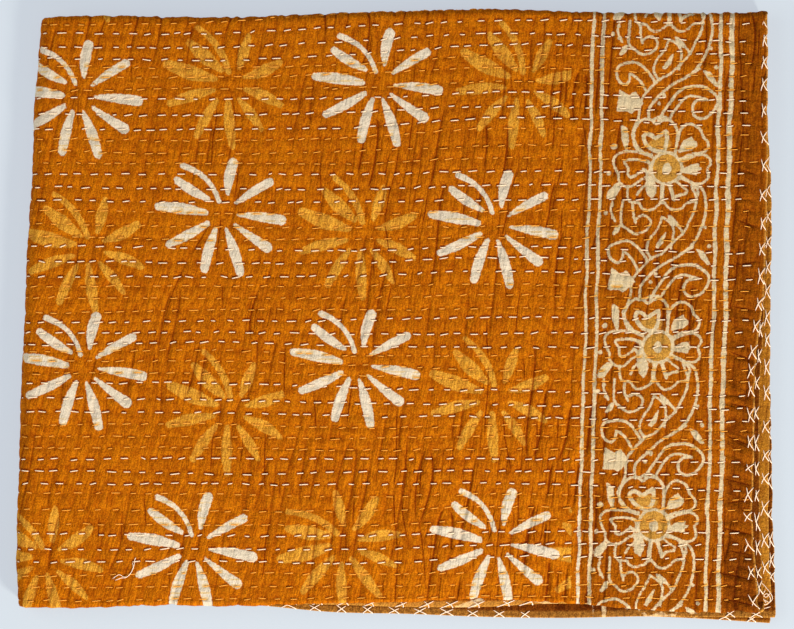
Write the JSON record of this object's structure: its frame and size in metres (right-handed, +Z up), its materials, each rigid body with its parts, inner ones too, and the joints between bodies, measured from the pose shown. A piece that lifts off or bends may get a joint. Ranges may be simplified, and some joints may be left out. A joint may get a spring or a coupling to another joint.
{
  "type": "folded kantha quilt",
  "caption": "Thin quilted cotton cover with running-stitch rows, folded into a flat rectangular packet with its hems fanned out along one side, for a bed or sofa.",
  "frame": {"origin": "middle of the underside of the folded quilt, on the surface that it lies on", "axes": "+X across the folded quilt towards its hems, +Y towards the double fold at the back, +Z up"},
  "size_m": [0.6092, 0.4924, 0.0249],
  "materials": {
    "quilt_cotton": "block-printed cotton, washed soft, mustard with cream and ochre print, matt"
  },
  "bodies": {
    "root": {"quilt": "quilt_cotton"}
  },
  "joints": []
}
